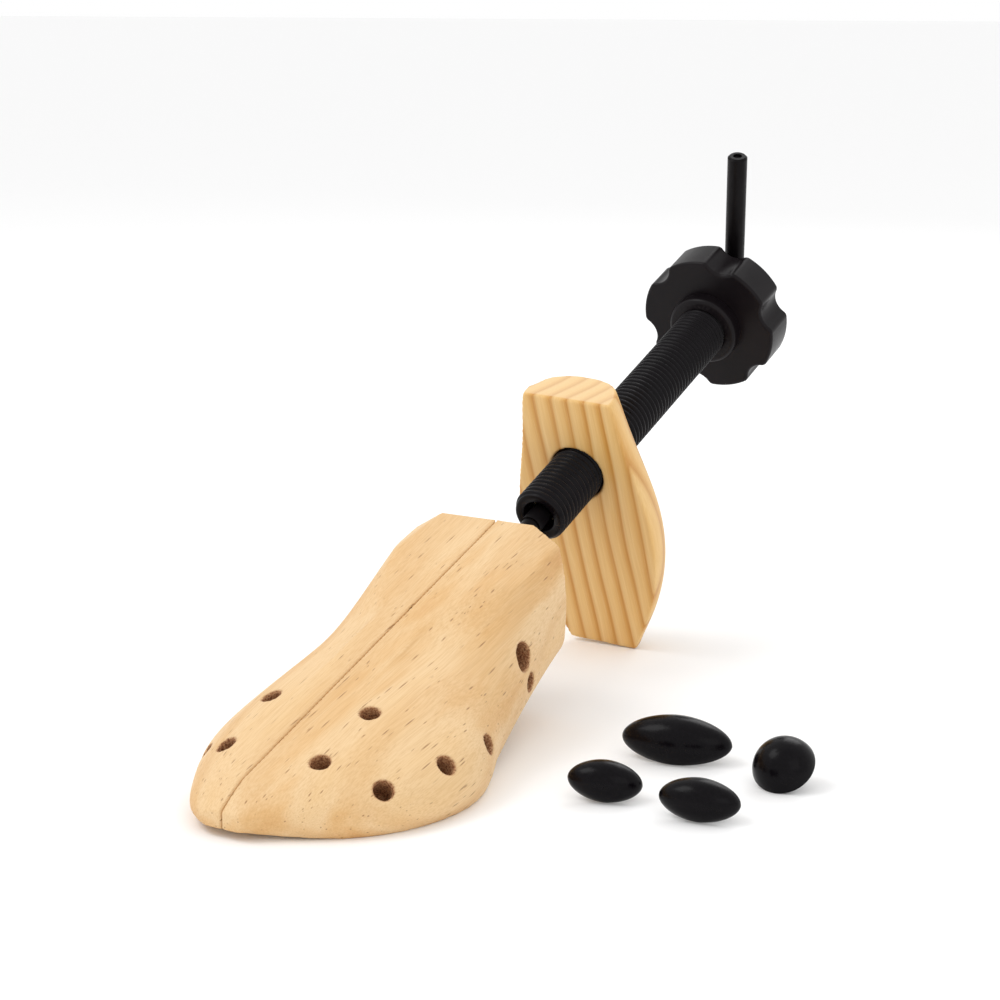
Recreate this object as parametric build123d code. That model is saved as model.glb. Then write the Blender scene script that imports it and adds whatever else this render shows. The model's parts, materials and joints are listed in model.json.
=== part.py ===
from build123d import *
import math
import os

# Two-way shoe stretcher: a split wooden toe block, a wooden heel block, a threaded tube with a
# star knob that sets the length, and a crank rod that drives a spreader nut to set the width.
# Millimetres, +Z up, toe towards -Y, standing on the soles of the toe block and the heel's edge.

# ---- driving dimensions ------------------------------------------------------------------
tilt = 21.7               # rise of the tube axis towards the knob, degrees
axis_height = 45.4        # tube axis above the floor at the toe block's back face
fit_gap = 0.05            # radial running clearance

block_length = 140.0
back_height = 59.8
facet_slope = 19.3        # fall of the flat rear top towards the toe, degrees
shoulder_slope = 14.0     # fall of the shoulder bevels towards the toe, degrees
shoulder_lean = 31.0      # sideways fall of the shoulder bevels, degrees
shoulder_starts = {1: 13.5, -1: 20.0}   # flat top's reach right and left of the seam, at the back
seam_gap = 0.4

tube_radius = 9.2
tube_bore = 5.4
tube_front = 26.6         # stations along the tube axis, counted from the back face
tube_rear = 167.0
rod_radius = 3.5
neck_radius = 3.0         # the rod where it runs through the yoke and carries its thread
rod_tip = -62.0
crank_station = 178.5
crank_bend = 5.5
crank_arm = 57.5
crank_lean = 10.5         # the arm's turn about the axis from straight up, degrees

knob_front = 155.9
knob_thickness = 14.3
knob_radius = 25.2
knob_lobes = 6
scallop_radius = 6.5
scallop_offset = 3.6
scallop_phase = 11.0
boss_radius = 12.9
boss_length = 5.0

heel_station = 54.0
heel_drop = 70.0          # from the tube axis down to the heel block's lower end
heel_roll = 3.0           # the block's turn about the tube, degrees

leaf_station = 8.6        # floor of the hinge recess, where the leaves are screwed on
recess_half_width = 16.4
yoke_radius = 7.5
yoke_bottom = 37.8
yoke_top = 52.2
leaf_sheet = 1.2
leaf_plate = 1.8
ear_radius = 4.0
pin_radius = 1.9
pin_seat = 1.3            # depth of each hinge pin in the yoke
pin_reach = 2.9           # length of each hinge pin outside the yoke

nut_station = 34.5        # spreader nut's centre, measured towards the toe from the back face
nut_radius = 6.5
nut_height = 15.0
ramp_angle = 24.0
ramp_sheet = 2.0
ramp_clearance = 0.45
ramp_bottom = 19.8
ramp_height = 21.5

spring_station = 96.0
spring_height = 10.0
anchor_spread = 11.0

plug_hole_radius = 2.8
large_hole_radius = 4.3
plug_hole_depth = 9.0
stem_radius = 2.6
stem_length = 6.0

# ---- frames ------------------------------------------------------------------------------
tilted = Pos(0, 0, axis_height) * Rot(tilt, 0, 0)
rolled = tilted * Rot(0, heel_roll, 0)


def along_axis(radius, start, end):
    """Round bar on the tube axis between two stations, in the level position."""
    bar = Cylinder(radius, end - start, align=(Align.CENTER, Align.CENTER, Align.MIN))
    return Pos(0, start, 0) * Rot(-90, 0, 0) * bar


def upright(radius, bottom, top, x=0.0, y=0.0):
    """Vertical round bar between two heights."""
    bar = Cylinder(radius, top - bottom, align=(Align.CENTER, Align.CENTER, Align.MIN))
    return Pos(x, y, bottom) * bar


def block_between(x0, x1, y0, y1, z0, z1):
    """Box given by its limits."""
    box = Box(x1 - x0, y1 - y0, z1 - z0)
    return Pos((x0 + x1) / 2, (y0 + y1) / 2, (z0 + z1) / 2) * box


# ---- toe block ---------------------------------------------------------------------------
# Each row is one cross-section: station from the back face, mean half-width, sway of the
# outline to the right of the seam, height of the widest point, height of the crown, and the
# fullness of the shoulder (2 is an ellipse).
toe_sections = [
    (-12.0, 28.4, -4.9, 32.5, 77.0, 2.9),
    (0.0, 29.2, -4.0, 29.5, 70.5, 2.8),
    (10.0, 29.9, -3.2, 27.2, 65.2, 2.65),
    (20.0, 30.8, -2.2, 25.0, 59.8, 2.5),
    (30.0, 31.6, -1.0, 22.5, 54.2, 2.35),
    (40.0, 32.4, 0.4, 20.0, 48.6, 2.2),
    (58.0, 35.0, 2.0, 14.0, 40.0, 1.95),
    (76.0, 40.1, 3.9, 9.0, 34.3, 1.8),
    (95.0, 40.1, 5.2, 7.5, 28.4, 1.84),
    (112.0, 34.5, 5.1, 6.6, 22.4, 1.9),
    (125.0, 25.1, 3.3, 6.2, 16.9, 1.95),
    (134.0, 15.5, 0.1, 6.2, 12.0, 2.0),
    (140.0, 7.0, 0.0, 5.8, 7.6, 2.0),
]
sole_tuck = 2.6           # the sole's edge, inside the widest line
rear_tuck = 5.0           # more of it towards the back face
rear_tuck_length = 60.0
arch_rise = 17.0          # underside above the floor at the back face
arch_length = 72.0        # the sole is flat ahead of this station
toe_spring = 3.2          # underside above the floor at the tip
toe_spring_start = 112.0
sole_cut = 0.6            # planed off the sole to leave it flat


def underside(station):
    """Height of the underside, which rises from the flat sole to the back and to the tip."""
    arch = arch_rise * max(0.0, 1 - station / arch_length) ** 1.3
    lift = max(0.0, station - toe_spring_start) / (block_length - toe_spring_start)
    return arch + toe_spring * lift ** 2 - sole_cut


def toe_side(half_width, widest, crown, fullness, bottom, tuck):
    """Outline points of one side of a section, from the sole's edge up to the crown."""
    foot = half_width - min(tuck, 0.3 * half_width)
    flank = half_width - 0.25 * (half_width - foot)
    side = [(foot, bottom), (flank, bottom + 0.4 * (widest - bottom))]
    for angle in (0, 20, 40, 58, 74, 90):
        reach = math.cos(math.radians(angle)) ** (2 / fullness) if angle < 90 else 0.0
        rise = math.sin(math.radians(angle)) ** (2 / fullness) if angle > 0 else 0.0
        side.append((half_width * reach, widest + (crown - widest) * rise))
    return side


def toe_section(station, half_width, sway, widest, crown, fullness):
    """Closed cross-section face of the toe block: flat sole, full sides, domed top."""
    bottom = underside(station)
    tuck = sole_tuck + rear_tuck * max(0.0, 1 - station / rear_tuck_length)
    right_side = toe_side(half_width + sway, widest, crown, fullness, bottom, tuck)
    left_side = toe_side(half_width - sway, widest, crown, fullness, bottom, tuck)
    right_points = [Vector(x, -station, z) for x, z in right_side]
    left_points = [Vector(-x, -station, z) for x, z in left_side]
    right = Spline(right_points, tangents=[(0.5, 0, 1), (-1, 0, 0)])
    left = Spline(left_points, tangents=[(-0.5, 0, 1), (1, 0, 0)])
    sole = Line(left_points[0], right_points[0])
    return make_face(Wire([sole, right, left]))


def above_plane(point, normal):
    """Large block lying on the outer side of a plane, used as a cutter."""
    plane = Plane(origin=point, z_dir=normal)
    return plane * Box(400, 400, 100, align=(Align.CENTER, Align.CENTER, Align.MIN))


def toe_form():
    """The whole outer shape, with its planed sole, flat rear top and two shoulder bevels."""
    form = loft([toe_section(*row) for row in toe_sections])
    form -= above_plane((0, 0, 0), (0, 0, -1))
    form -= above_plane((0, 0, 0), (0, 1, 0))
    form -= above_plane((0, 0, back_height), (0, -math.tan(math.radians(facet_slope)), 1))
    lean = math.tan(math.radians(shoulder_lean))
    for side, start in shoulder_starts.items():
        normal = (side * lean, -math.tan(math.radians(shoulder_slope)), 1)
        form -= above_plane((side * start, 0, back_height), normal)
    return form


def mechanism_pocket():
    """Hollow inside the block for the yoke, the rod, the spreader nut and the ramp plates."""
    slot = tilted * block_between(-4.4, 4.4, rod_tip - 4, 20, -5.0, 5.0)
    recess = block_between(-recess_half_width, recess_half_width, -leaf_station, 20,
                           yoke_bottom - 3.4, yoke_top + 0.6)
    recess += block_between(-11.3, 11.3, -leaf_station, 20, yoke_top, yoke_top + 3.0)
    room = block_between(-12.6, 12.6, -31.0, -19.0, ramp_bottom - 0.5, 42.0)
    neck = block_between(-5.5, 5.5, -20.0, -leaf_station + 1, 30.0, 49.0)
    back = ramp_sheet + 0.02
    corners = [(-10.3, back), (13.0, back), (13.0, -1.0)]
    right = [ramp_point(run, depth) for run, depth in corners]
    left = [ramp_point(run, depth, -1) for run, depth in reversed(corners)]
    ramps = Polygon(*right, *left, align=None)
    throat = Pos(0, 0, ramp_bottom - 0.5) * extrude(ramps, ramp_height + 1.0, dir=(0, 0, 1))
    return slot + recess + room + neck + throat


def ramp_point(run, depth, side=1):
    """Plan point on a ramp: run along it towards the toe, depth outwards from its face."""
    angle = math.radians(ramp_angle)
    reach = nut_radius + ramp_clearance + depth
    x = reach * math.cos(angle) - run * math.sin(angle)
    y = nut_station + reach * math.sin(angle) + run * math.cos(angle)
    return (side * x, -y)


# Relief-plug holes: distance of the mouth from the seam on the right and on the left half,
# station, height, radius, and the drill's direction as its turn towards the toe and its rise.
plug_holes = [
    (32.0, 33.2, 35.2, 29.0, large_hole_radius, 4, 12),
    (32.9, 32.6, 30.3, 19.5, plug_hole_radius, -5, -3),
    (41.5, 34.0, 71.3, 14.1, plug_hole_radius, -15, 20),
    (41.9, 32.4, 94.1, 14.8, plug_hole_radius, 12, 43),
    (34.8, 26.0, 114.2, 12.4, plug_hole_radius, 38, 43),
    (16.7, 15.6, 118.0, 18.1, plug_hole_radius, 72, 67),
    (17.4, 16.8, 95.3, 25.7, plug_hole_radius, 64, 72),
]


def plug_drills(side):
    """Drills for the relief-plug holes of one half."""
    drills = []
    for right, left, station, z, radius, turn, rise in plug_holes:
        drill = Cylinder(radius, plug_hole_depth + 6, align=(Align.CENTER, Align.CENTER, Align.MIN))
        heading = math.radians(turn)
        level = math.cos(math.radians(rise))
        outward = Vector(side * level * math.cos(heading), -level * math.sin(heading),
                         math.sin(math.radians(rise)))
        mouth = Vector(right if side > 0 else -left, -station, z)
        drills.append(Plane(origin=mouth - outward * plug_hole_depth, z_dir=outward) * drill)
    return drills


def screw(length, head_radius=2.6, shank_radius=1.4, slotted=True):
    """Countersunk wood screw pointing down -Z from its head face at the origin."""
    head = Cone(shank_radius, head_radius, 1.8, align=(Align.CENTER, Align.CENTER, Align.MAX))
    tail_length = length - 3.0
    shank = Cylinder(shank_radius, tail_length, align=(Align.CENTER, Align.CENTER, Align.MAX))
    point = Cone(0.3, shank_radius, 3.0, align=(Align.CENTER, Align.CENTER, Align.MAX))
    body = head + shank + Pos(0, 0, -tail_length) * point
    if not slotted:
        return body
    return body - Box(0.25 * head_radius, 1.4 * head_radius, 1.2)


leaf_screw_spots = [(12.6, 40.0), (12.6, 48.5)]
leaf_screw_length = 9.5
ramp_screw_spots = [(-6.0, 24.0), (-6.0, 36.5)]
ramp_screw_length = 10.0


def leaf_screws(side, slotted=True):
    """The two screws that hold a hinge leaf to the back of its half, or their plain cutters."""
    made = [Pos(side * x, leaf_plate - leaf_station, z) * Rot(-90, 0, 0)
            * screw(leaf_screw_length, slotted=slotted) for x, z in leaf_screw_spots]
    return made[0] + made[1]


def ramp_screws(side, slotted=True):
    """The two screws that hold a ramp plate to its half, or their plain cutters."""
    made = []
    lean = math.radians(ramp_angle)
    for run, z in ramp_screw_spots:
        x, y = ramp_point(run, 0.0, side)
        inward = (-side * math.cos(lean), math.sin(lean), 0)
        made.append(Plane(origin=(x, y, z), z_dir=inward) * screw(ramp_screw_length, 2.2, 1.1, slotted))
    return made[0] + made[1]


def hinge_leaf(side):
    """Bent steel leaf: a plate on the back face with an upper and a lower ear."""
    floor = -leaf_station + 0.02
    low = yoke_bottom - 3.0
    high = yoke_top + 2.8
    leaf = block_between(8.8, 15.8, floor, leaf_plate - leaf_station, low, yoke_top + 0.2)
    step = 0.0 if side > 0 else leaf_sheet + 0.2
    for level in (yoke_top + 0.2 + step, yoke_bottom - 0.2 - leaf_sheet - step):
        tab = upright(ear_radius, level, level + leaf_sheet)
        arm = block_between(0, 10.6, floor, ear_radius - 1.0, level, level + leaf_sheet)
        leaf += tab + arm
    leaf += block_between(8.8, 10.6, floor, 0.0, low, yoke_bottom - 0.2)
    leaf += block_between(8.8, 10.6, floor, 0.0, yoke_top + 0.2, high)
    leaf -= upright(pin_radius + fit_gap, 0, 100, 0, 0)
    if side < 0:
        leaf = mirror(leaf, Plane.YZ)
    return leaf - leaf_screws(side, slotted=False)


def ramp_plate(side):
    """Steel wear plate that the spreader nut pushes against."""
    outline = Polygon(*[ramp_point(-10.0, 0.0), ramp_point(12.0, 0.0),
                        ramp_point(12.0, ramp_sheet), ramp_point(-10.0, ramp_sheet)], align=None)
    plate = Pos(0, 0, ramp_bottom) * extrude(outline, ramp_height, dir=(0, 0, 1))
    plate -= tilted * along_axis(neck_radius + 0.6, rod_tip - 6, 20)
    if side < 0:
        plate = mirror(plate, Plane.YZ)
    return plate - ramp_screws(side, slotted=False)


def spring_anchor(side):
    """Steel pin that one end of the closing spring hooks over."""
    return upright(1.25, 1.0, 15.5, side * anchor_spread, -spring_station)


def toe_half(side, form):
    """One wooden half of the toe block with its pocket, plug holes and fastener holes."""
    low, high = (seam_gap / 2, 60) if side > 0 else (-60, -seam_gap / 2)
    half = form & block_between(low, high, -200, 10, -5, 100)
    half -= mechanism_pocket()
    bore = Pos(0, -spring_station, spring_height) * Rot(0, 90, 0) * Cylinder(3.6, 2 * anchor_spread + 8)
    half -= bore
    half -= upright(1.25, -1.0, 15.6, side * anchor_spread, -spring_station)
    for drill in plug_drills(side):
        half -= drill
    return half - leaf_screws(side, slotted=False) - ramp_screws(side, slotted=False)


# ---- yoke and hinge pins -----------------------------------------------------------------
flange_radius = 3.9
flange_start = 0.2
flange_end = 2.4
gland_start = -4.0


def toe_yoke():
    """Upright barrel that carries the rod between the two hinge pins."""
    barrel = upright(yoke_radius, yoke_bottom, yoke_top, 0, 0)
    barrel -= tilted * along_axis(neck_radius + fit_gap, -20, 40)
    barrel -= tilted * along_axis(flange_radius + 0.4, -20, flange_end + 0.05)
    barrel -= upright(pin_radius, yoke_top - pin_seat, yoke_top + 5)
    barrel -= upright(pin_radius, yoke_bottom - 5, yoke_bottom + pin_seat)
    return barrel


def yoke_gland():
    """Threaded ring that closes the yoke in front of the rod's flange."""
    ring = along_axis(flange_radius + 0.4, gland_start, flange_start - 0.05)
    return tilted * (ring - along_axis(neck_radius + fit_gap, -10, 20))


def hinge_pin(low, high):
    """Hinge pin from one height to another."""
    pin = upright(pin_radius, low, high, 0, 0)
    return chamfer(pin.edges().filter_by(GeomType.CIRCLE), 0.3)


# ---- crank rod ---------------------------------------------------------------------------
def crank_rod():
    """L-shaped steel rod: necked and threaded front, plain shank, bend, and crank arm."""
    bend_start = crank_station - crank_bend
    neck = along_axis(neck_radius, rod_tip, 22.0)
    shank = along_axis(rod_radius, 22.0, bend_start)
    turn = Plane(origin=(0, bend_start, 0), z_dir=(0, 1, 0)) * Circle(rod_radius)
    elbow = revolve(turn, Axis((0, bend_start, crank_bend), (1, 0, 0)), 90)
    arm = upright(rod_radius, crank_bend, crank_arm, 0, crank_station)
    top = arm.edges().filter_by(GeomType.CIRCLE).sort_by(Axis.Z)[-1]
    arm = chamfer(top, 0.7)
    arm -= upright(1.6, crank_arm - 0.8, crank_arm + 1, 0, crank_station)
    arm = Rot(0, crank_lean, 0) * (elbow + arm)
    return tilted * (neck + shank + arm)


def rod_flange():
    """Flange on the rod, held inside the yoke."""
    return tilted * (along_axis(flange_radius, flange_start, flange_end)
                     - along_axis(neck_radius, -10, 20))


def thrust_collar():
    """Collar on the rod inside the tube's mouth, which takes the tube's push."""
    return tilted * (along_axis(5.0, tube_front + 7.0, tube_front + 11.0)
                     - along_axis(rod_radius, 0, 60))


def rear_washer():
    """Washer between the knob and the bend of the crank."""
    start = knob_front + knob_thickness + 0.1
    return tilted * (along_axis(7.0, start, start + 1.0) - along_axis(rod_radius, 100, 200))


# ---- spreader nut ------------------------------------------------------------------------
def spreader_nut():
    """Upright barrel nut that travels along the rod and pushes the ramps apart."""
    centre = axis_height - nut_station * math.tan(math.radians(tilt))
    nut = upright(nut_radius, centre - nut_height / 2, centre + nut_height / 2, 0, -nut_station)
    nut = chamfer(nut.edges().filter_by(GeomType.CIRCLE), 0.6)
    return nut - tilted * along_axis(neck_radius + fit_gap, -100, 20)


# ---- tube and knob -----------------------------------------------------------------------
def threaded_tube():
    """Hollow plastic tube with a chamfered mouth."""
    tube = along_axis(tube_radius, tube_front, tube_rear)
    mouth = tube.edges().filter_by(GeomType.CIRCLE).sort_by(Axis.Y)[0]
    tube = chamfer(mouth, 1.2)
    tube -= along_axis(tube_bore, 0, 300)
    tube -= knob_pin_solid()
    return tilted * tube


def tube_bush(start, length):
    """Plain bearing bush inside the tube."""
    bush = along_axis(tube_bore, start, start + length)
    return tilted * (bush - along_axis(rod_radius + fit_gap, 0, 300) - knob_pin_solid())


def knob_pin_solid():
    """Cross pin through the boss and the tube wall, in the level position."""
    pin = Cylinder(1.5, boss_radius - tube_bore - 1.6, align=(Align.CENTER, Align.CENTER, Align.MIN))
    return Pos(0, knob_front - boss_length / 2, 0) * Rot(0, scallop_phase, 0) * Pos(0, 0, tube_bore + 0.6) * pin


def adjustment_knob():
    """Star knob with wide lobes, narrow scallops and a raised boss round the tube."""
    star = Circle(knob_radius)
    for index in range(knob_lobes):
        angle = math.radians(scallop_phase + index * 360 / knob_lobes)
        reach = knob_radius + scallop_offset
        star -= Pos(reach * math.cos(angle), reach * math.sin(angle)) * Circle(scallop_radius)
    star = fillet(star.vertices(), 2.4)
    disc = extrude(star, knob_thickness)
    disc = fillet(disc.faces().sort_by(Axis.Z)[-1].edges(), 1.1)
    disc = fillet(disc.faces().sort_by(Axis.Z)[0].edges(), 1.1)
    disc = Pos(0, knob_front + knob_thickness, 0) * Rot(90, 0, 0) * disc
    boss = along_axis(boss_radius, knob_front - boss_length, knob_front + 1)
    rim = boss.edges().filter_by(GeomType.CIRCLE).sort_by(Axis.Y)[0]
    boss = fillet(rim, 1.6)
    knob = disc + boss
    knob -= along_axis(tube_radius, 0, tube_rear)
    knob -= along_axis(rod_radius + 0.6, 0, 300)
    return tilted * (knob - knob_pin_solid())


# ---- heel block --------------------------------------------------------------------------
# Height from the tube axis, half-width of the flat front, depth of the rounded back.
heel_sections = [
    (28.6, 15.8, 15.0),
    (12.0, 18.9, 17.5),
    (-4.0, 22.4, 20.2),
    (-20.0, 24.9, 22.6),
    (-36.0, 24.4, 23.4),
    (-50.0, 21.2, 21.4),
    (-61.0, 16.6, 18.5),
    (-heel_drop, 12.4, 15.0),
]
heel_fullness = 2.5
insert_radius = 11.6
insert_start = 6.0
insert_flange = 14.0
insert_screw_circle = 12.5


def heel_section(height, half_width, depth):
    """D-shaped section: flat front, rounded back."""
    curve = []
    for angle in range(0, 181, 20):
        turn = math.radians(angle)
        across = math.copysign(abs(math.cos(turn)) ** (2 / heel_fullness), math.cos(turn))
        back = abs(math.sin(turn)) ** (2 / heel_fullness) if 0 < angle < 180 else 0.0
        curve.append(Vector(half_width * across, heel_station + depth * back, height))
    rear = Spline(curve, tangents=[(0.15, 1, 0), (0.15, -1, 0)])
    return make_face(Wire([rear, Line(curve[-1], curve[0])]))


def heel_tunnel():
    """Hole through the heel block, with its seat for the threaded insert from behind."""
    seat = along_axis(insert_radius, heel_station + insert_start, heel_station + 60)
    brim = along_axis(insert_flange, heel_station + 14.0, heel_station + 60)
    return along_axis(tube_radius + 0.35, 0, 120) + seat + brim


def heel_block():
    """Pear-shaped wooden heel block."""
    block = loft([heel_section(*row) for row in heel_sections])
    edges = block.faces().sort_by(Axis.Z)[-1].edges() + block.faces().sort_by(Axis.Z)[0].edges()
    block = fillet(edges, 0.8)
    return rolled * (block - heel_tunnel() - insert_screw_solids(slotted=False))


def heel_insert():
    """Flanged nut, let in from the back of the heel block."""
    start = heel_station + insert_start
    body = along_axis(insert_radius, start, heel_station + 14.0)
    brim = along_axis(insert_flange - 0.1, heel_station + 14.0, heel_station + 16.0)
    nut = body + brim - along_axis(tube_radius + fit_gap, 0, 120)
    return rolled * (nut - insert_screw_solids(slotted=False))


def insert_screw_solids(slotted=True):
    """The screws of the insert's flange, or their plain cutters, in the level position."""
    made = []
    for angle in (90, 210, 330):
        turn = math.radians(angle)
        spot = Pos(insert_screw_circle * math.cos(turn), heel_station + 16.0,
                   insert_screw_circle * math.sin(turn))
        made.append(spot * Rot(-90, 0, 0) * screw(7.0, 1.1, 0.6, slotted))
    return made[0] + made[1] + made[2]


# ---- closing spring ----------------------------------------------------------------------
def closing_spring():
    """Outer shape of the tension spring between the two anchor pins."""
    coil = Pos(0, -spring_station, spring_height) * Rot(0, 90, 0) * Cylinder(2.5, 2 * anchor_spread - 5.2)
    for side in (-1, 1):
        loop = Torus(2.3, 0.5)
        coil += Pos(side * anchor_spread, -spring_station, spring_height) * loop
    return coil


# ---- relief plugs ------------------------------------------------------------------------
# Name, length, width, height of the dome, then where it lies: x, y, heading and roll in degrees.
plugs = [
    ("plug_long", 33.0, 15.2, 7.8, 73.8, -19.4, 14.0, 1.0),
    ("plug_oval_a", 21.2, 12.0, 6.2, 72.0, -59.7, 22.0, 5.0),
    ("plug_oval_b", 23.0, 12.2, 6.4, 101.4, -59.7, 12.0, 2.0),
    ("plug_round", 18.4, 18.4, 7.6, 110.0, -24.0, 0.0, 0.0),
]


plug_fullness = 1.85      # 2 would be an ellipse


def plug_dome(length, width, height):
    """Domed head: half a spindle with softly pointed ends, or a round cap."""
    if length == width:
        ball_radius = (length * length / 4 + height * height) / (2 * height)
        cap = Pos(0, 0, height - ball_radius) * Sphere(ball_radius)
        return cap & Cylinder(length, 60, align=(Align.CENTER, Align.CENTER, Align.MIN))
    outline = []
    for angle in range(180, -1, -15):
        turn = math.radians(angle)
        along = math.copysign(abs(math.cos(turn)) ** (2 / plug_fullness), math.cos(turn))
        across = math.sin(turn) ** (2 / plug_fullness) if 0 < angle < 180 else 0.0
        outline.append((0.5 * length * along, 0.5 * width * across))
    edge = Spline(outline)
    spindle = revolve(make_face(Wire([edge, Line(outline[-1], outline[0])])), Axis.X, 360)
    spindle = scale(spindle, by=(1, 1, 2 * height / width))
    return spindle & Box(100, 100, 60, align=(Align.CENTER, Align.CENTER, Align.MIN))


def relief_plug(length, width, height, x, y, heading, roll):
    """Moulded plug lying on the floor on its rim and stem, dome turned up and forwards."""
    dome = plug_dome(length, width, height)
    stem = Cylinder(stem_radius, stem_length + 1, align=(Align.CENTER, Align.CENTER, Align.MAX))
    stem = chamfer(stem.edges().filter_by(GeomType.CIRCLE).sort_by(Axis.Z)[0], 0.5)
    plug = dome + Pos(0, 0, 1) * stem
    lie = math.degrees(math.atan2(stem_length, width / 2 - stem_radius))
    plug = Rot(0, 0, heading) * Rot(0, roll, 0) * Rot(lie, 0, 0) * plug
    return Pos(x, y, -plug.bounding_box().min.Z) * plug


# ---- assembly ----------------------------------------------------------------------------
def build_nodes():
    """All pieces by node name, in the working position before the frame shift."""
    form = toe_form()
    nodes = {
        "toe_yoke": toe_yoke(),
        "yoke_gland": yoke_gland(),
        "hinge_pin_upper": hinge_pin(yoke_top - pin_seat, yoke_top + pin_reach),
        "hinge_pin_lower": hinge_pin(yoke_bottom - pin_reach, yoke_bottom + pin_seat),
        "crank_rod": crank_rod(),
        "rod_flange": rod_flange(),
        "thrust_collar": thrust_collar(),
        "rear_washer": rear_washer(),
        "spreader_nut": spreader_nut(),
        "threaded_tube": threaded_tube(),
        "tube_bush_front": tube_bush(tube_front + 11.2, 10.0),
        "tube_bush_rear": tube_bush(tube_rear - 22.0, 12.0),
        "adjustment_knob": adjustment_knob(),
        "knob_pin": tilted * knob_pin_solid(),
        "heel_block": heel_block(),
        "heel_insert": heel_insert(),
        "insert_screws": rolled * insert_screw_solids(),
        "closing_spring": closing_spring(),
    }
    for side, name in ((1, "right"), (-1, "left")):
        nodes[f"toe_half_{name}"] = toe_half(side, form)
        nodes[f"hinge_leaf_{name}"] = hinge_leaf(side)
        nodes[f"leaf_screws_{name}"] = leaf_screws(side)
        nodes[f"ramp_plate_{name}"] = ramp_plate(side)
        nodes[f"ramp_screws_{name}"] = ramp_screws(side)
        nodes[f"spring_anchor_{name}"] = spring_anchor(side)
    for name, *shape in plugs:
        nodes[name] = relief_plug(*shape)
    return nodes


def frame_shift(nodes):
    """Move that puts the origin at the bottom centre of the whole object's box."""
    boxes = [shape.bounding_box() for shape in nodes.values()]
    x = (min(b.min.X for b in boxes) + max(b.max.X for b in boxes)) / 2
    y = (min(b.min.Y for b in boxes) + max(b.max.Y for b in boxes)) / 2
    return Pos(-x, -y, 0)


def main():
    nodes = build_nodes()
    shift = frame_shift(nodes)
    os.makedirs("parts", exist_ok=True)
    for name, shape in nodes.items():
        export_step(shift * shape, f"parts/{name}.step")


if __name__ == "__main__":
    main()
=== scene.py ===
import json
import math

import bpy
import numpy as np
from mathutils import Matrix, Vector


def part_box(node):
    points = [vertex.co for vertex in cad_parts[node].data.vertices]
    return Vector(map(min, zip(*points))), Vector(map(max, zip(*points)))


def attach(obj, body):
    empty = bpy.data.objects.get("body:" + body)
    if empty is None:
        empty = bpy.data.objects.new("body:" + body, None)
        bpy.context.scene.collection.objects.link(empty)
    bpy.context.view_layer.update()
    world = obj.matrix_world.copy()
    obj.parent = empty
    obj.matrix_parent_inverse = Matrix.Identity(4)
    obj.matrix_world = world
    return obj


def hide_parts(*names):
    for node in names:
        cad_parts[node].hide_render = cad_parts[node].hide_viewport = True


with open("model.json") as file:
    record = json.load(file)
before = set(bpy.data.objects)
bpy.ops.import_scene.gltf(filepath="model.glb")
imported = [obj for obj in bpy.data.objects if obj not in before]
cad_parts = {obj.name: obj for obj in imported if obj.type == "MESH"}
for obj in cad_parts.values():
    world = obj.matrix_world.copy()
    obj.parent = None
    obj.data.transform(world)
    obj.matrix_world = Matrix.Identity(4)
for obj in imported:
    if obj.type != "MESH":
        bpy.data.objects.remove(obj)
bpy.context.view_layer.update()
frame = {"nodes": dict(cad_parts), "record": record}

MM = 0.001
WELD_GAP = 0.02 * MM

# ---- the frame: the tube's axis and the yoke's upright axis ---------------------------------
record = frame["record"]
joints = {joint["name"]: joint for joint in record["behaviour"]["joints"]}
slots = {row["node"]: row["material_slot"] for row in record["subparts"]}
tube_axis = Vector(joints["crank_turn"]["axis"]).normalized()
tube_origin = Vector(joints["crank_turn"]["pos_m"])
tilt = math.atan2(tube_axis.z, tube_axis.y)
seam = Vector((tube_origin.x, tube_origin.y, 0.0))
# From level coordinates, x across, y along the tube and z up from its axis, to the frame's.
on_tube = Matrix.Translation(tube_origin) @ Matrix.Rotation(tilt, 4, "X")


# ---- mesh helpers -----------------------------------------------------------------------------
def add_piece(name, mesh, body, material, stands_for=()):
    """Put a finished mesh in the scene, riding on its body and standing for CAD nodes."""
    piece = bpy.data.objects.new(name, mesh)
    bpy.context.scene.collection.objects.link(piece)
    mesh.materials.clear()
    mesh.materials.append(material)
    for polygon in mesh.polygons:
        polygon.use_smooth = True
    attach(piece, body)
    if stands_for:
        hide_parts(*stands_for)
    return piece


def mesh_from_grid(name, rows, around, closed_rows):
    """Mesh of a rows x around grid of points that wraps round, and along if closed_rows."""
    count = len(rows) // around
    faces = []
    for row in range(count if closed_rows else count - 1):
        following = (row + 1) % count
        for column in range(around):
            beside = (column + 1) % around
            faces.append((row * around + column, row * around + beside,
                          following * around + beside, following * around + column))
    mesh = bpy.data.meshes.new(name)
    mesh.from_pydata([tuple(point) for point in rows], [], faces)
    mesh.validate()
    mesh.update()
    return mesh


def revolved_grid(stations, radii, around, matrix):
    """Points of a surface round the level Y axis; radii may differ round each ring."""
    turns = np.linspace(0.0, 2 * np.pi, around, endpoint=False)
    radii = np.asarray(radii, dtype=float)
    if radii.ndim == 1:
        radii = np.repeat(radii[:, None], around, axis=1)
    x = radii * np.cos(turns)[None, :]
    z = radii * np.sin(turns)[None, :]
    y = np.repeat(np.asarray(stations, dtype=float)[:, None], around, axis=1)
    points = np.stack([x, y, z, np.ones_like(x)], axis=-1).reshape(-1, 4)
    return (points @ np.array(matrix).T)[:, :3]


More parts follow.
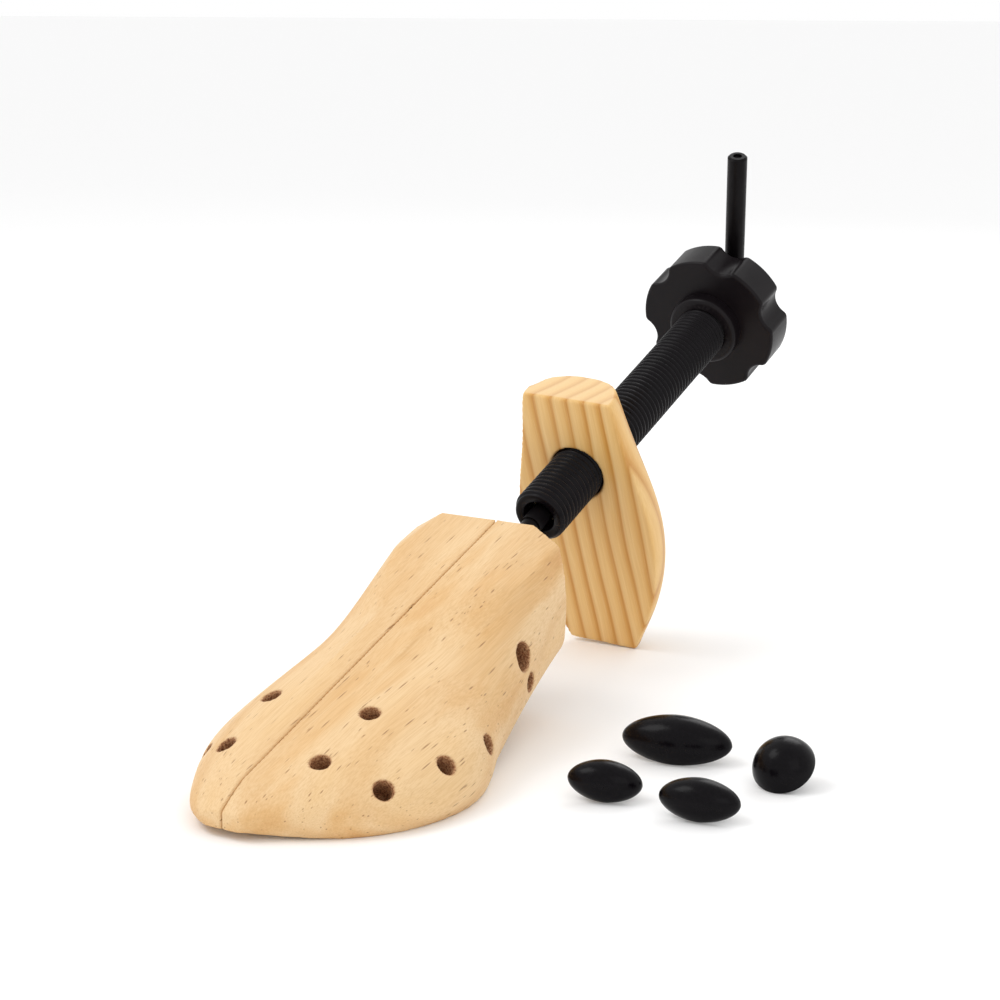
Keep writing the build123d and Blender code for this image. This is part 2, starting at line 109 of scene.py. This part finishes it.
def sanded_copy(node, voxel, rounds, keep_sharp=None):
    """Dense copy of a CAD node with its edges softened by sanding."""
    source = frame["nodes"][node]
    holder = bpy.data.objects.new(node + "_work", source.data.copy())
    bpy.context.scene.collection.objects.link(holder)
    weld = holder.modifiers.new("weld", "WELD")
    weld.merge_threshold = WELD_GAP
    remesh = holder.modifiers.new("remesh", "REMESH")
    remesh.mode = "VOXEL"
    remesh.voxel_size = voxel
    graph = bpy.context.evaluated_depsgraph_get()
    mesh = bpy.data.meshes.new_from_object(holder.evaluated_get(graph))
    bpy.data.objects.remove(holder)
    count = len(mesh.vertices)
    points = np.empty(count * 3)
    mesh.vertices.foreach_get("co", points)
    points = points.reshape(-1, 3)
    edges = np.empty(len(mesh.edges) * 2, dtype=np.int64)
    mesh.edges.foreach_get("vertices", edges)
    edges = edges.reshape(-1, 2)
    links = np.bincount(edges.ravel(), minlength=count)[:, None]
    weight = np.full((count, 1), 0.5)
    if keep_sharp is not None:
        weight *= keep_sharp(points)[:, None]
    # Each pass pulls every point towards its neighbours; pairs that push back keep the volume,
    # and the last passes round the edges over.
    pull, push_back = 1.0, -1.02
    for step in [pull, push_back] * rounds + [pull, pull]:
        total = np.empty_like(points)
        for axis in range(3):
            total[:, axis] = (np.bincount(edges[:, 0], points[edges[:, 1], axis], count)
                              + np.bincount(edges[:, 1], points[edges[:, 0], axis], count))
        points = points + step * weight * (total / links - points)
    # Sanding takes nothing past the CAD piece's own box.
    points = np.clip(points, *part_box(node))
    mesh.vertices.foreach_set("co", points.ravel())
    mesh.update()
    mesh.name = node + "_sanded"
    return mesh, points


# ---- shader helpers ---------------------------------------------------------------------------
class Shader:
    """Small builder for one node material."""

    def __init__(self, name):
        self.material = bpy.data.materials.new(name)
        self.material.use_nodes = True
        self.tree = self.material.node_tree
        self.surface = self.tree.nodes["Principled BSDF"]

    def add(self, kind, settings=None, **inputs):
        made = self.tree.nodes.new(kind)
        for key, value in (settings or {}).items():
            setattr(made, key, value)
        for key, value in inputs.items():
            self.feed(made, key.replace("_", " "), value)
        return made

    def feed(self, made, key, value):
        socket = made.inputs[int(key[1:])] if key[1:].isdigit() else made.inputs[key]
        if isinstance(value, bpy.types.NodeSocket):
            self.tree.links.new(value, socket)
        else:
            socket.default_value = value

    def math(self, operation, first, second=0.0):
        return self.add("ShaderNodeMath", {"operation": operation}, i0=first,
                        i1=second).outputs[0]

    def mix(self, share, first, second):
        made = self.add("ShaderNodeMix", {"data_type": "RGBA"})
        self.feed(made, "i0", share)
        self.feed(made, "i6", first)
        self.feed(made, "i7", second)
        return made.outputs[2]

    def place(self, turn=(0.0, 0.0, 0.0), move=(0.0, 0.0, 0.0)):
        """Object coordinates moved, turned and scaled to millimetres."""
        coordinates = self.add("ShaderNodeTexCoord").outputs["Object"]
        moved = self.add("ShaderNodeVectorMath", {"operation": "SUBTRACT"}, i0=coordinates, i1=move)
        turned = self.add("ShaderNodeMapping", {"vector_type": "POINT"},
                          Vector=moved.outputs[0], Rotation=turn)
        return self.stretch(turned.outputs[0], (1 / MM, 1 / MM, 1 / MM))

    def stretch(self, vector, scale):
        return self.add("ShaderNodeMapping", {"vector_type": "POINT"},
                        Vector=vector, Scale=scale).outputs[0]

    def noise(self, vector, detail=3.0, roughness=0.5):
        return self.add("ShaderNodeTexNoise", Vector=vector, Scale=1.0, Detail=detail,
                        Roughness=roughness).outputs["Fac"]

    def ramp(self, value, *stops):
        made = self.add("ShaderNodeValToRGB", Fac=value)
        marks = made.color_ramp.elements
        marks[0].position = stops[0][0]
        marks[1].position = stops[-1][0]
        for position, _ in stops[1:-1]:
            marks.new(position)
        for mark, (_, colour) in zip(marks, stops):
            mark.color = (*colour, 1.0)
        return made.outputs["Color"]

    def level(self, value, low, high, start=0.0, end=1.0):
        """Value from low..high mapped to start..end, clamped."""
        return self.add("ShaderNodeMapRange", {"clamp": True},
                        i0=value, i1=low, i2=high, i3=start, i4=end).outputs[0]

    def bump(self, height, distance, strength):
        return self.add("ShaderNodeBump", Height=height, Distance=distance,
                        Strength=strength).outputs[0]

    def finish(self, **inputs):
        for key, value in inputs.items():
            self.feed(self.surface, key.replace("_", " "), value)
        return self.material


# ---- materials --------------------------------------------------------------------------------
def toe_wood():
    """Pale sanded hardwood: fine fibre, short dark pores along the grain, warm patches."""
    s = Shader("toe_wood")
    place = s.place(turn=(-math.radians(15.0), 0.0, math.radians(1.5)), move=tuple(seam))
    warp = s.add("ShaderNodeTexNoise", Vector=s.stretch(place, (0.03, 0.012, 0.03)), Scale=1.0,
                 Detail=2.0)
    sway = s.add("ShaderNodeVectorMath", {"operation": "MULTIPLY_ADD"},
                 i0=warp.outputs["Color"], i1=(7.0, 7.0, 7.0), i2=place).outputs[0]
    broad = s.noise(s.stretch(sway, (0.05, 0.009, 0.05)), detail=4.0, roughness=0.55)
    base = s.ramp(broad, (0.30, (0.74, 0.49, 0.235)), (0.47, (0.765, 0.535, 0.290)),
                  (0.60, (0.70, 0.43, 0.185)), (0.72, (0.60, 0.31, 0.105)))
    # Growth figure: wide soft bands round an axis below the block.
    far = s.add("ShaderNodeVectorMath", {"operation": "SUBTRACT"}, i0=sway, i1=(-34.0, 0.0, -30.0))
    ring = s.add("ShaderNodeVectorMath", {"operation": "LENGTH"},
                 i0=s.stretch(far.outputs[0], (1.0, 0.12, 1.0))).outputs["Value"]
    band = s.math("SINE", s.math("MULTIPLY", ring, 0.62))
    base = s.mix(s.level(band, 0.1, 1.0, 0.0, 0.35), base, (0.63, 0.36, 0.135, 1.0))
    # Fibre.
    fibre = s.noise(s.stretch(sway, (2.6, 0.05, 2.6)), detail=4.0, roughness=0.65)
    base = s.mix(s.level(fibre, 0.45, 0.72, 0.0, 0.42), base, (0.52, 0.29, 0.105, 1.0))
    base = s.mix(s.level(fibre, 0.48, 0.22, 0.0, 0.28), base, (0.82, 0.60, 0.36, 1.0))
    # Pores: two sizes of short dashes, gathered in loose streaks.
    crowd = s.noise(s.stretch(sway, (0.22, 0.02, 0.22)), detail=2.0)
    pores = None
    dashes = (((0.80, 0.070, 0.80), 0.21, 0.45), ((0.80, 0.11, 0.80), 0.13, 0.52))
    for scale, size, kept in dashes:
        cells = s.add("ShaderNodeTexVoronoi", {"feature": "F1", "distance": "EUCLIDEAN"},
                      Vector=s.stretch(sway, scale), Scale=1.0, Randomness=1.0)
        chance = s.add("ShaderNodeSeparateColor", Color=cells.outputs["Color"]).outputs[0]
        chance = s.math("ADD", chance, s.level(crowd, 0.35, 0.7, -0.4, 0.4))
        chosen = s.math("GREATER_THAN", chance, kept)
        dash = s.level(cells.outputs["Distance"], size, size * 0.45, 0.0, 1.0)
        dash = s.math("MULTIPLY", dash, chosen)
        pores = dash if pores is None else s.math("MAXIMUM", pores, dash)
    base = s.mix(s.math("MULTIPLY", pores, 0.72), base, (0.27, 0.12, 0.04, 1.0))
    # Walls of the drilled holes: darker cross grain with speckle, and painted shade deep in the
    # holes.
    wall = s.add("ShaderNodeAttribute", {"attribute_name": "bore_wall"}).outputs["Fac"]
    speck = s.noise(s.stretch(place, (1.6, 1.2, 1.6)), detail=5.0, roughness=0.75)
    raw_grain_and_shade = s.ramp(speck, (0.36, (0.13, 0.045, 0.016)), (0.50, (0.40, 0.18, 0.075)),
                 (0.64, (0.66, 0.40, 0.21)))
    base = s.mix(wall, base, raw_grain_and_shade)
    rough = s.level(fibre, 0.3, 0.7, 0.50, 0.62)
    rough = s.math("ADD", rough, s.math("MULTIPLY", wall, 0.3))
    height = s.math("SUBTRACT", s.math("MULTIPLY", fibre, 0.5), pores)
    height = s.math("ADD", height, s.math("MULTIPLY", s.math("MULTIPLY", wall, speck), 6.0))
    normal = s.bump(height, 0.00012, 0.55)
    return s.finish(Base_Color=base, Roughness=rough, Normal=normal, Specular_IOR_Level=0.42)


def heel_wood():
    """Softwood with bold growth rings: stripes on the flat front, arcs on the end grain."""
    s = Shader("heel_wood")
    place = s.place(turn=(-tilt, 0.0, 0.0), move=tuple(tube_origin))
    warp = s.add("ShaderNodeTexNoise", Vector=s.stretch(place, (0.03, 0.03, 0.010)), Scale=1.0,
                 Detail=2.0)
    sway = s.add("ShaderNodeVectorMath", {"operation": "MULTIPLY_ADD"},
                 i0=warp.outputs["Color"], i1=(5.0, 5.0, 3.0), i2=place).outputs[0]
    # The tree's middle: millimetres across from the tube's axis, and along it from the yoke.
    pith = (-62.0, 92.0, 0.0)
    ring_width = 5.4
    centre = s.add("ShaderNodeVectorMath", {"operation": "SUBTRACT"}, i0=sway, i1=pith)
    flat = s.stretch(centre.outputs[0], (1.0, 1.0, 0.03))
    ring = s.add("ShaderNodeVectorMath", {"operation": "LENGTH"}, i0=flat).outputs["Value"]
    season = s.math("FRACT", s.math("MULTIPLY", ring, 1 / ring_width))
    base = s.ramp(season, (0.0, (0.70, 0.44, 0.175)), (0.14, (0.77, 0.51, 0.215)),
                  (0.50, (0.75, 0.465, 0.165)), (0.76, (0.62, 0.32, 0.075)),
                  (0.89, (0.52, 0.225, 0.035)), (1.0, (0.70, 0.42, 0.145)))
    fibre = s.noise(s.stretch(sway, (2.4, 2.4, 0.045)), detail=4.0, roughness=0.65)
    base = s.mix(s.level(fibre, 0.42, 0.75, 0.0, 0.28), base, (0.60, 0.33, 0.11, 1.0))
    base = s.mix(s.level(fibre, 0.50, 0.22, 0.0, 0.26), base, (0.90, 0.67, 0.38, 1.0))
    broad = s.noise(s.stretch(sway, (0.05, 0.05, 0.012)), detail=3.0)
    base = s.mix(s.level(broad, 0.45, 0.75, 0.0, 0.35), base, (0.74, 0.45, 0.16, 1.0))
    # End grain on the top and bottom is painted paler and a little duller: painted light, standing
    # in for the brighter light on the top.
    facing = s.add("ShaderNodeNewGeometry").outputs["Normal"]
    up = s.add("ShaderNodeVectorMath", {"operation": "DOT_PRODUCT"}, i0=facing,
               i1=(0.0, -math.sin(tilt), math.cos(tilt))).outputs["Value"]
    end = s.level(s.math("ABSOLUTE", up), 0.86, 0.97, 0.0, 0.42)
    base = s.mix(end, base, (0.84, 0.64, 0.40, 1.0))
    # Painted shade: the bore's wall round the tube is darkened.
    wall = s.add("ShaderNodeAttribute", {"attribute_name": "bore_wall"}).outputs["Fac"]
    base = s.mix(s.math("MULTIPLY", wall, 0.7), base, (0.22, 0.10, 0.035, 1.0))
    rough = s.level(season, 0.0, 1.0, 0.58, 0.44)
    height = s.math("ADD", s.math("MULTIPLY", fibre, 0.5), s.math("MULTIPLY", season, 0.5))
    normal = s.bump(height, 0.00010, 0.5)
    return s.finish(Base_Color=base, Roughness=rough, Normal=normal, Specular_IOR_Level=0.42)


def moulded_plastic(name, colour, rough, grain, gloss):
    """Moulded black plastic: fine skin texture, faint cloudy sheen, raised edges painted paler in
    scuffed patches, partly wear and partly painted highlight.
    """
    s = Shader(name)
    place = s.place()
    cloud = s.noise(s.stretch(place, (0.07, 0.07, 0.07)), detail=4.0, roughness=0.6)
    skin = s.noise(s.stretch(place, (grain, grain, grain)), detail=3.0, roughness=0.6)
    scuff = s.noise(s.stretch(place, (1.4, 0.25, 0.9)), detail=5.0, roughness=0.7)
    paler = tuple(channel * 1.5 for channel in colour[:3]) + (1.0,)
    tone = s.mix(s.level(cloud, 0.35, 0.7), colour, paler)
    pointed = s.add("ShaderNodeNewGeometry").outputs["Pointiness"]
    raised = s.level(pointed, 0.515, 0.56, 0.0, 0.6)
    # Raised edges painted paler where scuffed: partly wear, partly a painted edge highlight.
    edge_wear_and_highlight = s.math("MULTIPLY", raised, s.level(scuff, 0.42, 0.62))
    tone = s.mix(edge_wear_and_highlight, tone, (0.030, 0.027, 0.028, 1.0))
    shine = s.math("ADD", s.level(cloud, 0.3, 0.7, rough - 0.04, rough + 0.07),
                   s.level(scuff, 0.55, 0.8, 0.0, 0.10))
    normal = s.bump(skin, 0.00005, 0.35)
    return s.finish(Base_Color=tone, Roughness=shine, Normal=normal, Specular_IOR_Level=gloss)


def blackened_steel():
    """Black oxide steel rod: drawn lines along it, thin rubbed spots."""
    s = Shader("black_steel")
    place = s.place(turn=(-tilt, 0.0, 0.0), move=tuple(tube_origin))
    drawn = s.noise(s.stretch(place, (3.0, 0.5, 0.5)), detail=4.0, roughness=0.6)
    cloud = s.noise(s.stretch(place, (0.10, 0.10, 0.10)), detail=4.0)
    tone = s.mix(s.level(cloud, 0.35, 0.7), (0.004, 0.003, 0.0035, 1.0),
                 (0.008, 0.007, 0.0075, 1.0))
    rubbed = s.math("MULTIPLY", s.level(drawn, 0.60, 0.72), s.level(cloud, 0.5, 0.7, 0.0, 0.5))
    tone = s.mix(rubbed, tone, (0.045, 0.042, 0.040, 1.0))
    rough = s.level(drawn, 0.3, 0.7, 0.28, 0.44)
    normal = s.bump(drawn, 0.00004, 0.4)
    return s.finish(Base_Color=tone, Roughness=rough, Normal=normal, Metallic=0.2,
                    Specular_IOR_Level=0.08)


def plated_steel():
    """Zinc plated steel: cloudy crystals and fine scratches."""
    s = Shader("plated_steel")
    place = s.place()
    spangle = s.add("ShaderNodeTexVoronoi", {"feature": "F1"}, Vector=place, Scale=0.8)
    cloud = s.noise(s.stretch(place, (0.4, 0.4, 0.4)), detail=4.0)
    scratch = s.noise(s.stretch(place, (0.3, 6.0, 6.0)), detail=3.0)
    patch = s.add("ShaderNodeSeparateColor", Color=spangle.outputs["Color"]).outputs[0]
    tone = s.mix(patch, (0.52, 0.53, 0.54, 1.0), (0.64, 0.64, 0.63, 1.0))
    tone = s.mix(s.level(cloud, 0.45, 0.7, 0.0, 0.45), tone, (0.40, 0.40, 0.39, 1.0))
    rough = s.math("ADD", s.level(cloud, 0.3, 0.7, 0.26, 0.42),
                   s.level(scratch, 0.6, 0.75, 0.0, 0.12))
    normal = s.bump(scratch, 0.00003, 0.3)
    return s.finish(Base_Color=tone, Roughness=rough, Normal=normal, Metallic=1.0)


def bearing_plastic():
    """Natural off-white bearing plastic with faint turning lines."""
    s = Shader("bush_plastic")
    place = s.place(turn=(-tilt, 0.0, 0.0))
    lines = s.noise(s.stretch(place, (0.3, 5.0, 0.3)), detail=2.0)
    tone = s.mix(lines, (0.62, 0.61, 0.56, 1.0), (0.52, 0.51, 0.46, 1.0))
    return s.finish(Base_Color=tone, Roughness=s.level(lines, 0.3, 0.7, 0.35, 0.5),
                    Normal=s.bump(lines, 0.00004, 0.4))


def plug_plastic():
    """Glossy black plastic of the relief plugs, with an orange-peel skin and hairline scratches."""
    s = Shader("plug_plastic")
    place = s.place()
    peel = s.noise(s.stretch(place, (0.9, 0.9, 0.9)), detail=2.0)
    scratch = s.noise(s.stretch(place, (7.0, 0.5, 3.0)), detail=4.0, roughness=0.7)
    tone = s.mix(s.level(peel, 0.3, 0.7), (0.0018, 0.0012, 0.0020, 1.0),
                 (0.0034, 0.0026, 0.0036, 1.0))
    rough = s.math("ADD", s.level(peel, 0.3, 0.7, 0.20, 0.27),
                   s.level(scratch, 0.58, 0.75, 0.0, 0.16))
    normal = s.bump(peel, 0.00012, 0.25)
    return s.finish(Base_Color=tone, Roughness=rough, Normal=normal, Specular_IOR_Level=0.10)


finishes = {
    "toe_wood": toe_wood(),
    "heel_wood": heel_wood(),
    "tube_plastic": moulded_plastic("tube_plastic", (0.0030, 0.0022, 0.0030, 1.0),
                                    rough=0.27, grain=2.2, gloss=0.12),
    "knob_plastic": moulded_plastic("knob_plastic", (0.0050, 0.0036, 0.0044, 1.0),
                                    rough=0.32, grain=1.6, gloss=0.13),
    "black_steel": blackened_steel(),
    "plated_steel": plated_steel(),
    "bush_plastic": bearing_plastic(),
    "plug_plastic": plug_plastic(),
}
for name, node in frame["nodes"].items():
    chosen = "knob_plastic" if name == "adjustment_knob" else slots[name]
    node.data.materials.clear()
    node.data.materials.append(finishes[chosen])

# ---- toe block --------------------------------------------------------------------------------
# Relief-plug holes: mouth's distance from the seam on the right and left half, station, height,
# radius, turn towards the toe and rise, in millimetres and degrees.
plug_holes = [
    (32.0, 33.2, 35.2, 29.0, 4.3, 4, 12),
    (32.9, 32.6, 30.3, 19.5, 2.8, -5, -3),
    (41.5, 34.0, 71.3, 14.1, 2.8, -15, 20),
    (41.9, 32.4, 94.1, 14.8, 2.8, 12, 43),
    (34.8, 26.0, 114.2, 12.4, 2.8, 38, 43),
    (16.7, 15.6, 118.0, 18.1, 2.8, 72, 67),
    (17.4, 16.8, 95.3, 25.7, 2.8, 64, 72),
]
hole_depth = 9.0


def mark_bores(mesh, points, side):
    """Attribute that is 1 on the walls of the drilled holes, which the wood darkens as cross grain
    and painted shade.
    """
    inside = np.zeros(len(points))
    for right, left, station, height, radius, turn, rise in plug_holes:
        level = math.cos(math.radians(rise))
        outward = np.array([side * level * math.cos(math.radians(turn)),
                            -level * math.sin(math.radians(turn)), math.sin(math.radians(rise))])
        mouth = np.array([right if side > 0 else -left, -station, height]) * MM + np.array(seam)
        offset = points - mouth
        along = offset @ outward
        away = np.linalg.norm(offset - along[:, None] * outward, axis=1)
        near = np.clip((radius + 0.45 - away / MM) / 0.25, 0, 1)
        deep = np.clip((-along / MM + 0.5) / 0.8, 0, 1) * (along / MM > -hole_depth - 1.0)
        inside = np.maximum(inside, near * deep)
    layer = mesh.attributes.new("bore_wall", "FLOAT", "POINT")
    layer.data.foreach_set("value", inside.astype(np.float32))


def clear_of_seam(points):
    """Sanding weight: none on the sawn faces that meet at the seam."""
    return np.clip((np.abs(points[:, 0] - seam.x) / MM - 0.6) / 1.4, 0.0, 1.0)


for side, name in ((1, "right"), (-1, "left")):
    mesh, points = sanded_copy(f"toe_half_{name}", 0.62 * MM, 3, clear_of_seam)
    mark_bores(mesh, points, side)
    add_piece(f"toe_wood_{name}", mesh, f"half_{name}", finishes["toe_wood"],
              [f"toe_half_{name}"])

# ---- heel block -------------------------------------------------------------------------------
heel_bore_reach = 10.2
heel_bore_fade = 0.4
mesh, points = sanded_copy("heel_block", 0.6 * MM, 2)
# Mask of the bore's wall, where the heel's wood is darkened as painted shade.
axis = np.array(tube_axis)
offset = points - np.array(tube_origin)
away = np.linalg.norm(offset - (offset @ axis)[:, None] * axis, axis=1) / MM
wall = np.clip((heel_bore_reach - away) / heel_bore_fade, 0, 1)
layer = mesh.attributes.new("bore_wall", "FLOAT", "POINT")
layer.data.foreach_set("value", wall.astype(np.float32))
add_piece("heel_wood", mesh, "heel", finishes["heel_wood"], ["heel_block"])

# ---- threaded tube ----------------------------------------------------------------------------
tube_low, tube_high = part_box("threaded_tube")
tube_radius = (tube_high[0] - tube_low[0]) / 2
tube_bore = 5.4 * MM
tube_length = ((tube_high[1] - tube_low[1]) - 2 * tube_radius * math.sin(tilt)) / math.cos(tilt)
tube_middle = (Vector(tube_low) + Vector(tube_high)) / 2
tube_start = (tube_middle - tube_origin).dot(tube_axis) - tube_length / 2
thread_pitch = 2.25 * MM
thread_depth = 0.95 * MM
root_sharpness = 1.4
mouth_chamfer = 1.2 * MM
bore_lip = 0.5 * MM
rows_per_turn = 10
around_tube = 80


def threaded_tube_mesh():
    """Hollow tube with a full-length outer thread, a chamfered mouth and a flat front rim."""
    count = int(tube_length / thread_pitch * rows_per_turn)
    along = np.linspace(0.0, tube_length, count)
    turns = np.linspace(0.0, 1.0, around_tube, endpoint=False)
    phase = (along[:, None] / thread_pitch - turns[None, :]) % 1.0
    # Rounded crest, narrower root.
    valley = np.clip((0.5 - np.abs(phase - 0.5)) / 0.5, 0, 1)
    valley = (1 - np.cos(np.pi * (1 - valley))) / 2
    radii = tube_radius - thread_depth * valley ** root_sharpness
    limit = tube_radius - mouth_chamfer + along
    radii = np.minimum(radii, limit[:, None])
    # The bore from the rear to its softened mouth, then the flat rim: station and radius.
    inner = [(tube_length, tube_bore), (bore_lip, tube_bore),
             (0.3 * bore_lip, tube_bore + 0.7 * bore_lip), (0.0, tube_bore + 1.2 * bore_lip),
             (0.0, tube_radius - mouth_chamfer - bore_lip)]
    inner_rows = np.array([[radius] * around_tube for _, radius in inner])
    stations = np.concatenate([[station for station, _ in inner], along]) + tube_start
    grid = revolved_grid(stations, np.vstack([inner_rows, radii]), around_tube, on_tube)
    return mesh_from_grid("threaded_tube_skin", grid, around_tube, True)


add_piece("threaded_tube_skin", threaded_tube_mesh(), "tube",
          finishes["tube_plastic"], ["threaded_tube"])

# ---- closing spring ---------------------------------------------------------------------------
spring_low, spring_high = (Vector(corner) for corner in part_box("closing_spring"))
spring_centre = (spring_low + spring_high) / 2
wire_radius = 0.35 * MM
coil_radius = 2.1 * MM
coil_turns = 18
steps_per_turn = 16
loop_radius = 2.3 * MM
loop_reach = 2.8 * MM
loop_opening = 0.3
loop_points = 18
wire_sides = 8


def spring_mesh():
    """Close-wound tension spring with a hook loop at each end, as one tube of wire."""
    half = (spring_high.x - spring_low.x) / 2 - loop_reach
    coil_half = half - loop_reach
    path = []
    for step in range(coil_turns * steps_per_turn + 1):
        share = step / (coil_turns * steps_per_turn)
        angle = share * coil_turns * 2 * math.pi
        path.append(Vector((-coil_half + 2 * coil_half * share, coil_radius * math.cos(angle),
                            coil_radius * math.sin(angle))))
    for sign in (-1, 1):
        loop = [Vector((sign * (half - loop_radius * math.cos(a)), loop_radius * math.sin(a), 0.0))
                for a in np.linspace(loop_opening, 2 * math.pi - loop_opening, loop_points)]
        path = loop[::-1] + path if sign < 0 else path + loop
    rows = []
    for index, point in enumerate(path):
        ahead = path[min(index + 1, len(path) - 1)] - path[max(index - 1, 0)]
        across = ahead.orthogonal().normalized()
        ahead.normalize()
        up = Vector((1, 0.2, 0.1)).cross(ahead).normalized() if abs(ahead.x) < 0.95 else across
        side = ahead.cross(up)
        for corner in range(wire_sides):
            angle = 2 * math.pi * corner / wire_sides
            rows.append(spring_centre + point + wire_radius * (math.cos(angle) * up
                                                               + math.sin(angle) * side))
    return mesh_from_grid("closing_spring_wire", rows, wire_sides, False)


add_piece("closing_spring_wire", spring_mesh(), "half_right",
          finishes["plated_steel"], ["closing_spring"])

# ---- floor, light, camera ---------------------------------------------------------------------
floor_reach = 20.0
floor_corners = [(sx * floor_reach, sy * floor_reach, 0)
                 for sx, sy in ((-1, -1), (1, -1), (1, 1), (-1, 1))]
floor_mesh = bpy.data.meshes.new("floor")
floor_mesh.from_pydata(floor_corners, [], [(0, 1, 2, 3)])
floor = bpy.data.objects.new("floor", floor_mesh)
bpy.context.scene.collection.objects.link(floor)
paper = Shader("floor")
paper.finish(Base_Color=(0.95, 0.95, 0.95, 1.0), Roughness=0.9, Specular_IOR_Level=0.1)
floor_mesh.materials.append(paper.material)

world = bpy.data.worlds.new("studio")
bpy.context.scene.world = world
world.use_nodes = True
world.node_tree.nodes["Background"].inputs["Color"].default_value = (1.0, 1.0, 1.0, 1.0)
world.node_tree.nodes["Background"].inputs["Strength"].default_value = 1.0


def softbox(name, place, target, size, watts):
    """Square area light aimed at a point."""
    lamp = bpy.data.lights.new(name, "AREA")
    lamp.shape = "SQUARE"
    lamp.size = size
    lamp.energy = watts
    holder = bpy.data.objects.new(name, lamp)
    holder.location = place
    holder.rotation_mode = "QUATERNION"
    holder.rotation_quaternion = (Vector(target) - Vector(place)).to_track_quat("-Z", "Y")
    bpy.context.scene.collection.objects.link(holder)


# Softboxes: place from the object's middle and size in metres, power in watts.
softboxes = [
    ("key", (-0.55, -0.45, 0.95), 0.55, 3.4),
    ("fill", (1.0, -0.55, 0.55), 0.7, 0.8),
    ("back", (-0.1, 1.0, 0.8), 0.6, 2.6),
]
middle = seam + Vector((0.03, 0.0, 0.04))
for name, place, size, watts in softboxes:
    softbox(name, middle + Vector(place), middle, size, watts)

# The photo's angle, measured from the seam on the floor below the yoke.
camera_place = seam + Vector((0.3612, -0.5877, 0.2185))
camera_aim = seam + Vector((0.1685, -0.2732, 0.1369))

camera_data = bpy.data.cameras.new("camera")
camera_data.lens = 81.8
camera_data.sensor_width = 36.0
camera = bpy.data.objects.new("camera", camera_data)
camera.location = camera_place
camera.rotation_mode = "QUATERNION"
camera.rotation_quaternion = (camera_aim - camera_place).to_track_quat("-Z", "Y")
camera_data.clip_start = 0.01
bpy.context.scene.collection.objects.link(camera)
bpy.context.scene.camera = camera
bpy.context.scene.view_settings.view_transform = "Standard"
